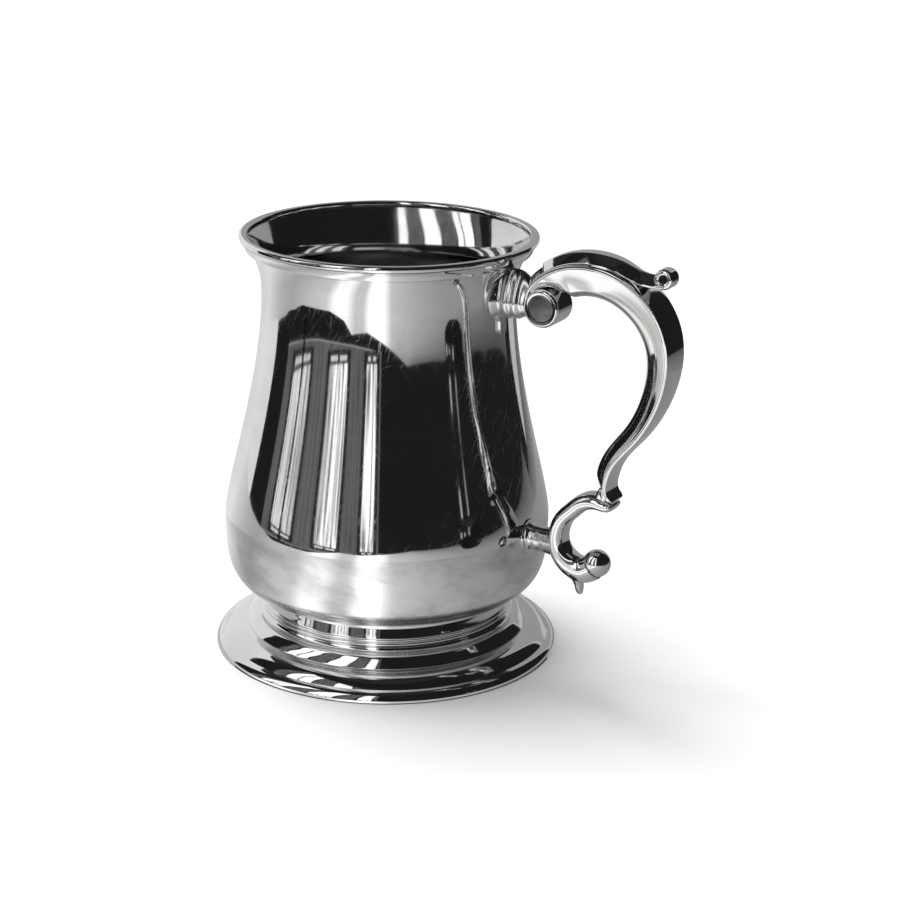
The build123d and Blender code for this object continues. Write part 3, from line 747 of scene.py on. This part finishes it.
settle(
    lathe(
        "cup_wall_upper",
        [(barrel(0), 0), (flare(0), 0), (flare(-CUP_WALL)[::-1], 1), (barrel(-CUP_WALL, 48)[::-1], 1)],
        [OUTSIDE, INSIDE],
        360,
    ),
    "spun_pewter",
    "body_upper",
)
settle(
    lathe(
        "cup_wall_lower",
        [
            (
                [
                    (FLOOR_RADIUS, WAIST_HEIGHT + CUP_WALL),
                    (FLOOR_RADIUS, WAIST_HEIGHT),
                    (WAIST_RADIUS, WAIST_HEIGHT),
                ],
                0,
            ),
            (bowl(0), 0),
            (bowl(-CUP_WALL)[::-1], 1),
        ],
        [BOWL, DEEP],
        360,
    ),
    "spun_pewter",
    "body_lower",
)
FLOOR_DISH, FLOOR_THICK = 1.3, 1.6
floor_top = [
    (r, WAIST_HEIGHT + CUP_WALL + FLOOR_DISH * (1 - ease(r, 0, FLOOR_RADIUS)))
    for r in np.linspace(0, FLOOR_RADIUS, 24)
]
floor_under = [(r, z - FLOOR_THICK + 0.1 * ease(r, 0, FLOOR_RADIUS)) for r, z in floor_top]
settle(
    lathe("cup_floor", [(floor_top, 0), (floor_under[::-1], 1)], [DEEP, UNDER], 180),
    "spun_pewter",
    "bottom_disc",
)

# lip: a rounded wire on a thin band whose lower edge shows as a fine step
MOUTH_RADIUS = 41.35
UNDER_WIRE = (42.4, LIP_SEAT_HEIGHT)   # the loop of the wire starts and ends in its flat underside
wire = rounded(
    [
        UNDER_WIRE,
        (RIM_RADIUS, LIP_SEAT_HEIGHT),
        (RIM_RADIUS, RIM_HEIGHT),
        (MOUTH_RADIUS, RIM_HEIGHT),
        (MOUTH_RADIUS, LIP_SEAT_HEIGHT),
        UNDER_WIRE,
    ],
    [0.75, 0.85, 1.45, 0.3],
    7,
)
settle(lathe("lip_wire_ring", [(wire, 0)], [OUTSIDE], 360), "spun_pewter", "lip_wire")
BAND_INSIDE, BAND_FOOT, BAND_TOP = 41.2, 122.3, 125.22
band_face = spline([(42.12, 122.55), (42.38, 123.4), (42.9, 124.3), (43.55, 125.15)], 14)
band = [(BAND_INSIDE, BAND_FOOT), (41.85, BAND_FOOT), *band_face, (43.0, BAND_TOP), (BAND_INSIDE, BAND_TOP)]
settle(lathe("lip_band_ring", [(band, 0)], [OUTSIDE], 360, sharp=50), "spun_pewter", "lip_band")

# ------------------------------------------------------------------ foot
collar = [
    (FLOOR_RADIUS, COLLAR_HEIGHT),
    *spline([(COLLAR_RADIUS, COLLAR_HEIGHT), (38.05, 10.85), (37.75, 11.45)], 8),
    (37.45, 11.65),
    *arc((37.3, 12.4), 0.62, -68, 68),
    *arc((37.15, 13.6), 0.52, -68, 68),
    *spline([(37.25, 14.2), (36.95, 15.3), (36.65, 16.5), (36.5, 17.5), (36.75, WAIST_HEIGHT)], 16),
    (FLOOR_RADIUS, WAIST_HEIGHT),
]
settle(lathe("foot_collar_ring", [(collar, 0)], [FOOT], 300, sharp=40), "foot_pewter", "foot_collar")

dome = spline([(COLLAR_RADIUS, COLLAR_HEIGHT), (40.0, 10.15), (41.0, 9.3), (42.1, 8.0), (42.75, 7.0)], 22)
ogee = spline([(42.75, 6.85), (44.6, 6.55), (46.6, 5.75), (48.1, 4.6), (EDGE_RADIUS, EDGE_HEIGHT)], 26)
top_face = [(FLOOR_RADIUS, COLLAR_HEIGHT), *dome, *ogee]
FLANGE_INSET, FLANGE_DEPTH = 0.9, 1.4
under_face = [(max(r - FLANGE_INSET, FLOOR_RADIUS), z - FLANGE_DEPTH) for r, z in top_face[::-1]]
under_face[0] = (EDGE_RADIUS, 1.6)
settle(
    lathe("foot_flange_ring", [(top_face, 0), (under_face, 1)], [FOOT, UNDER], 300, sharp=40),
    "foot_pewter",
    "foot_flange",
)

edge_face = spline(
    [(FOOT_RADIUS, 0.25), (51.85, 1.1), (51.3, 2.1), (50.4, 2.85), (EDGE_RADIUS, EDGE_HEIGHT)], 18
)
edge = [(EDGE_RADIUS, 0), (51.8, 0), *edge_face]
settle(lathe("foot_edge_ring", [(edge, 0)], [FOOT], 300, sharp=40), "foot_pewter", "foot_edge_wire")


# ------------------------------------------------------------------ handle: main scroll
def scroll(out, up):
    """A point of the scroll from shares of its reach and of its height."""
    return (HANDLE_ROOT + out * HANDLE_REACH, SCROLL_FOOT + up * (SCROLL_TOP - SCROLL_FOOT))


BACK_SHAPE = (   # the back in side view, from the roll over the top and down to the curled end
    (0.0, 0.783), (0.03, 0.853), (0.1, 0.912), (0.219, 0.968), (0.392, 1.0), (0.645, 0.975), (0.86, 0.872),
    (0.98, 0.715), (0.988, 0.556), (0.922, 0.398), (0.779, 0.234), (0.639, 0.105), (0.6, 0.0),
)
back = Path([scroll(*point) for point in BACK_SHAPE], 181)
SHOULDER, TAPER_FROM = 0.17, 0.35   # shares of the back's length: its widest from, and its taper from


def strip_width(s):
    """Half width of the back strip at a share of its length."""
    return mix(5.0, 6.3, ease(s, 0, SHOULDER)) if s < SHOULDER else mix(6.3, 4.3, ease(s, TAPER_FROM, 1))


def keel_depth(s):
    """Depth of the cast sides below the back."""
    return mix(3.6, 9.9, ease(s, 0.05, SHOULDER)) if s < SHOULDER else mix(9.9, 5.2, ease(s, TAPER_FROM, 1))


TAIL_FROM = back.count - 9             # the curled end takes over from this station
SIDES_FROM = int(0.045 * back.count)   # the cast sides begin at this one
CORNER = -0.08                         # the strip's top corners lie a little lower than its middle
rings = []
for i in range(TAIL_FROM + 1):
    w = strip_width(back.share(i))
    corners = [
        (-w, -STRIP), (w, -STRIP), (w, CORNER), (0.5 * w, 0.0), (0, 0.02), (-0.5 * w, 0.0), (-w, CORNER),
    ]
    rings.append(back.ring(i, closed_round(corners, [0.2, 0.2, 0.35, 1.2, 1.2, 1.2, 0.35])))
settle(sweep("handle_back", rings, [CAST], 50), "cast_pewter", "handle_back_strip")


def side_face(w, d):
    """One side of the cast scroll from the back strip round to the keel, as (sideways, outwards)."""
    e, facet, keel = w - 0.2, min(1.6, 0.3 * d), 0.6 * w
    return rounded(
        [
            (e - 0.25, -STRIP + 0.05),
            (e, -STRIP - 0.2),
            (mix(e, keel, 0.4) + 0.32, -mix(STRIP, d - facet, 0.4)),
            (keel, -(d - facet)),
            (0.5 * keel, -(d - 0.12)),
            (0.0, -d),
        ],
        [0.3, 4.0, 1.0, 0.6],
        7,
    )


for side, hand in ((-1, "left"), (1, "right")):
    rings = []
    for i in range(SIDES_FROM, TAIL_FROM + 1):
        s = back.share(i)
        w, d = strip_width(s), keel_depth(s)
        face = side_face(w, d)
        hidden = [(0.0, -(d - 1.3)), (side * 0.5 * w, -0.5 * d), (side * (w - 1.5), -STRIP + 0.1)]
        rings.append(back.ring(i, [(side * y, o) for y, o in face] + hidden))
    settle(sweep("handle_side_" + hand, rings, [CAST], 45), "cast_pewter", "handle_half_" + hand)


def across(centre):
    """Places a turned piece with its axis along Y."""
    return Matrix.Translation(centre) @ Matrix.Rotation(radians(-90), 4, "X")


def middle(node):
    """Centre of a CAD node, in millimetres."""
    low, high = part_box(node)
    return (low + high) / 2 / MM


roll_at = middle("volute_roll")
roll_half = [
    (0, 4.4),
    (3.95, 4.4),
    (4.0, 4.75),
    *rounded([(4.08, 4.95), (4.95, 5.02), (5.6, 4.35), (5.6, 3.0)], [0.3, 0.7], 7),
    (5.62, 1.5),
]
roll = lathe("roll", [(mirrored(roll_half), 0)], [CAST], 144, across(roll_at), 40)
settle(roll, "cast_pewter", "volute_roll")
DISC_RADIUS, DISC_TOP, DISC_DOME = 3.95, 4.9, 0.3
disc_face = [(DISC_RADIUS * q, DISC_TOP - DISC_DOME * q * q) for q in np.linspace(0, 0.93, 12)]
disc_face += [(3.9, 4.5), (DISC_RADIUS, 4.3), (0, 4.3)]
for side, hand in ((-1, "left"), (1, "right")):
    outline = [(r, side * y) for r, y in disc_face]
    disc = lathe("roll_disc_" + hand, [(outline, 0)], [DULL], 96, across(roll_at), 50)
    settle(disc, "cast_pewter", "volute_disc_" + hand)

# ------------------------------------------------------------------ handle: thumb leaf
curl_at = middle("leaf_curl")
LEAF_SEAT = (0.045, 0.075, 0.105, 0.15, 0.21, 0.27, 0.325, 0.358)   # shares of the back on which it lies
leaf_points = [back.p[int(round(x * (back.count - 1)))] for x in LEAF_SEAT]
leaf_points += [(curl_at.x - 3.3, curl_at.z - 2.3), (curl_at.x + 0.4, curl_at.z - 1.9)]
leaf = Path(leaf_points, 151)
NOSE, NOSE_LENGTH = 0.15, 0.022   # where the raised leaf starts on its low root, and how steeply
rings = []
for i in range(leaf.count):
    s = leaf.share(i)
    raised = ease(s, NOSE, NOSE + NOSE_LENGTH)
    root = ease(s, 0.0, 0.07)
    w = mix(mix(3.6, 4.5, root), mix(5.0, 3.0, ease(s, 0.5, 1.0)), raised)
    crown = mix(mix(0.9, 2.0, root), mix(2.9, 3.0, ease(s, 0.45, 0.85)), raised)
    crown = mix(crown, 2.5, ease(s, 0.9, 1.0))
    ridge = max(0.14 * w, w - 0.93 * crown)
    corners = [
        (-w * 0.97, -0.4), (w * 0.97, -0.4), (w, 0.15), (ridge, crown - 0.06), (0, crown),
        (-ridge, crown - 0.06), (-w, 0.15),
    ]
    rings.append(leaf.ring(i, closed_round(corners, [0.1, 0.1, 0.3, 0.4, 0.6, 0.4, 0.3], 6)))
settle(sweep("thumb_leaf_strap", rings, [CAST], 60), "cast_pewter", "thumb_leaf")

curl_half = [
    (0, 2.2),
    (1.4, 2.2),
    *rounded([(1.45, 2.5), (1.8, 2.66), (2.55, 2.5), (2.9, 1.9), (2.9, 0.6)], [0.2, 0.4, 0.4], 5),
]
curl = lathe("leaf_tip_curl", [(mirrored(curl_half), 0)], [CAST], 96, across(curl_at), 50)
settle(curl, "cast_pewter", "leaf_curl")
EYE_RADIUS, EYE_BASE = 1.42, 2.0
for side, hand in ((-1, "left"), (1, "right")):
    eye_face = [(EYE_RADIUS * sin(a), side * (2.34 + 0.02 * cos(a))) for a in np.linspace(0, pi / 2, 12)]
    eye_face += [(EYE_RADIUS, side * EYE_BASE), (0, side * EYE_BASE)]
    eye = lathe("curl_eye_" + hand, [(eye_face, 0)], [CAST], 72, across(curl_at), 50)
    settle(eye, "cast_pewter", "leaf_eye_" + hand)


# ------------------------------------------------------------------ handle: heel, lower scroll, ball, spur
def slab(name, outline, half_width, soft, materials):
    """A side-view outline given thickness along Y, with rounded edges."""
    p = np.array(outline, float)
    ahead, behind = np.roll(p, -1, axis=0), np.roll(p, 1, axis=0)
    t = ahead - behind
    t /= np.linalg.norm(t, axis=1)[:, None]
    turn = np.sum(p[:, 0] * ahead[:, 1] - ahead[:, 0] * p[:, 1])
    inward = np.stack([-t[:, 1], t[:, 0]], axis=1) * (1 if turn > 0 else -1)
    depths = [soft * (1 - cos(a)) for a in np.linspace(0, pi / 2, 7)]
    first = [(-half_width + q, soft - (soft**2 - (soft - q) ** 2) ** 0.5) for q in depths]
    stations = first + [(-y, inset) for y, inset in first[::-1]]
    rings = [[(x, y, z) for x, z in p + inward * inset] for y, inset in stations]
    return sweep(name, rings, materials, 50)


def round_end(s, start):
    """One up to the share start, then a quarter circle down to nothing at the end."""
    return (1 - max(0.0, (s - start) / (1 - start)) ** 2) ** 0.5


SMALLEST = 0.04   # a sweep ends in a ring of this share, so that its end can be closed
tail_points = [back.p[TAIL_FROM], back.p[TAIL_FROM + 3]]
tail_points += [(74.75, 62.3), (75.0, 60.9), (75.8, 59.8), (76.9, 59.2)]
tail = Path(tail_points, 81)
rings = []
for i in range(tail.count):
    s = tail.share(i)
    end = round_end(s, 0.78) if s < 1 else SMALLEST
    w, d = mix(strip_width(1), 4.1, s), mix(keel_depth(1), 2.0, ease(s, 0.1, 0.85))
    face = side_face(w, d)
    top = closed_round(
        [(w, -STRIP), (w, CORNER), (0, 0.02), (-w, CORNER), (-w, -STRIP)], [0.1, 0.35, 1.2, 0.35, 0.1]
    )
    loop = [(-y, o) for y, o in face] + [(y, o) for y, o in face[::-1][1:]] + top
    loop = [(y * mix(0.8, 1.0, end), mix(-0.5 * d, o, end)) for y, o in loop]
    rings.append(tail.ring(i, loop))
curled_end = sweep("curled_end", rings, [CAST], 50)
CORE_SHAPE = [
    (71.4, 61.6), (73.2, 61.6), (74.3, 60.4), (74.6, 58.8), (74.0, 57.2), (72.0, 56.8), (70.3, 57.4),
    (70.4, 59.6), (71.4, 61.6),
]
core_loop = spline(CORE_SHAPE, 48)[:-1]
core = slab("core", core_loop, 2.7, 1.5, [CAST])
settle(joined("scroll_heel_block", [curled_end, core]), "cast_pewter", "scroll_heel")

LOWER_SHAPE = [   # the bar in side view, from the lobe under the heel round to the ball
    (76.2, 57.0), (74.6, 56.4), (71.6, 56.8), (68.6, 56.9), (65.9, 55.8), (63.1, 53.3), (60.0, 49.9),
    (58.5, 46.1), (58.4, 42.1), (60.1, 38.5), (63.4, 35.9), (66.8, 35.2), (69.6, 36.7),
]
LOBE_LENGTH = 0.05


def signed_power(value, power):
    """A power of the value's size, with the value's sign."""
    return abs(value) ** power * (1 if value > 0 else -1)


lower = Path(LOWER_SHAPE, 141)
rings = []
for i in range(lower.count):
    s = lower.share(i)
    lobe = (1 - (1 - min(s / LOBE_LENGTH, 1.0)) ** 2) ** 0.5
    half_w = 4.05 * mix(0.72, 1.0, lobe)
    half_d = mix(mix(1.45, 2.5, ease(s, 0.0, 0.22)), 3.95, ease(s, 0.58, 0.97)) * max(lobe, SMALLEST)
    power = 2.0 / mix(2.7, 2.1, ease(s, 0.6, 0.95))
    loop = [
        (half_w * signed_power(cos(a), power), half_d * signed_power(sin(a), power))
        for a in np.linspace(0, 2 * pi, 48, endpoint=False)
    ]
    rings.append(lower.ring(i, loop))
settle(sweep("lower_scroll_bar", rings, [CAST], 60), "cast_pewter", "lower_scroll")

ball_at = middle("ball_terminal")
BALL_RADIUS = 4.1
ball_outline = [(BALL_RADIUS * cos(a), BALL_RADIUS * sin(a)) for a in np.linspace(-pi / 2, pi / 2, 49)]
ball_outline[0], ball_outline[-1] = (0, -BALL_RADIUS), (0, BALL_RADIUS)
ball = lathe("ball_end", [(ball_outline, 0)], [CAST], 96, Matrix.Translation(ball_at), 60)
settle(ball, "cast_pewter", "ball_terminal")

spur = Path([(64.4, 34.6), (65.0, 32.6), (65.5, 30.6), (65.75, 28.7), (65.95, 27.2)], 41)
rings = []
for i in range(spur.count):
    s = spur.share(i)
    r = max(mix(2.6, 1.6, ease(s, 0, 0.62)) * (1 - s**5) ** 0.5, 0.05)
    hollow = 0.35 * ease(s, 0.2, 0.6)
    loop = [
        (1.15 * r * cos(a), r * sin(a) * (1 - hollow * (sin(a) > 0)))
        for a in np.linspace(0, 2 * pi, 32, endpoint=False)
    ]
    rings.append(spur.ring(i, loop))
settle(sweep("spur_drop", rings, [CAST], 70), "cast_pewter", "drop_spur")


# ------------------------------------------------------------------ struts and back plates
def outwards(height):
    """Places a turned piece with its axis along X at a height."""
    return Matrix.Translation((0, 0, height)) @ Matrix.Rotation(radians(90), 4, "Y")


NECK_SHAPE = [   # along X, half width, height above the axis, depth below it
    (36.4, 6.8, 11.0, 6.8), (38.0, 5.9, 10.1, 5.9), (39.5, 5.1, 9.6, 5.1), (41.3, 5.5, 9.3, 5.6),
    (42.6, 5.0, 9.1, 5.0), (43.9, 5.2, 8.9, 5.3), (45.2, 4.6, 8.4, 4.7), (46.6, 4.3, 7.4, 4.4),
    (48.4, 4.1, 6.0, 4.2),
]
WEB_NARROWING = 0.3   # the web above the neck is this much narrower at its top
INSIDE_SKIN = 0.8     # the neck starts this far inside the cup's outer face, but not through its wall
outside = np.concatenate([barrel(0), flare(0)])
rings = []
for x, wide, over, under in spline(NECK_SHAPE, 61):
    loop = []
    for a in np.linspace(0, 2 * pi, 72, endpoint=False):
        y = wide * cos(a) * (1 - WEB_NARROWING * max(sin(a), 0))
        z = UPPER_JOINT + (over if sin(a) > 0 else under) * sin(a)
        skin = np.interp(z, outside[:, 1], outside[:, 0]) - INSIDE_SKIN
        loop.append((max(x, (skin**2 - y**2) ** 0.5), y, z))
    rings.append(loop)
settle(sweep("upper_neck", rings, [SOFT], 60), "cast_pewter", "upper_strut")

lower_face = spline(
    [
        (4.45, 48.4), (4.2, 49.3), (3.8, 50.1), (3.72, 51.4), (3.72, 53.6), (3.85, 54.6), (4.0, 55.8),
        (4.3, 57.6),
    ],
    48,
)
lower_outline = [(0, 47.2), (4.3, 47.2), *lower_face, (0, 57.6)]
lower_neck = lathe("lower_neck", [(lower_outline, 0)], [SOFT], 144, outwards(LOWER_JOINT), 60)
settle(lower_neck, "cast_pewter", "lower_strut")

for node in ("upper_back_plate", "lower_back_plate"):
    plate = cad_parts[node]
    soften = plate.modifiers.new("soft_edges", "BEVEL")
    soften.width = 0.0003
    soften.segments = 3
    soften.limit_method = "ANGLE"
    soften.angle_limit = radians(40)
